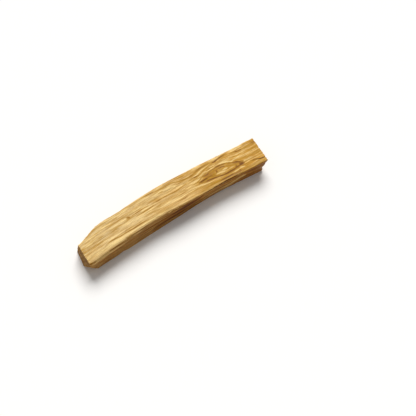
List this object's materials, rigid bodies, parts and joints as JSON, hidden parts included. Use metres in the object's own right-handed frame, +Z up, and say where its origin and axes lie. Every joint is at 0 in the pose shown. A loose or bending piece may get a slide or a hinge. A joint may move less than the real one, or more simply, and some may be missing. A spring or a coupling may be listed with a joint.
{
  "type": "palo santo stick",
  "caption": "Short riven stick of golden heartwood with worn arrises, fluted faces, sawn ends, a chipped corner and a drying crack; it lies on its flat sawn underside.",
  "frame": {"origin": "on the flat underside, under the middle of the stick's bounding box", "axes": "+X along the stick from its narrow end to its wide end, +Y to its back, +Z up from the underside"},
  "size_m": [0.1016, 0.0174, 0.0104],
  "materials": {
    "heartwood": "bare riven heartwood, golden with brown streaks, satin from its resin"
  },
  "bodies": {
    "root": {"stick": "heartwood"}
  },
  "joints": []
}
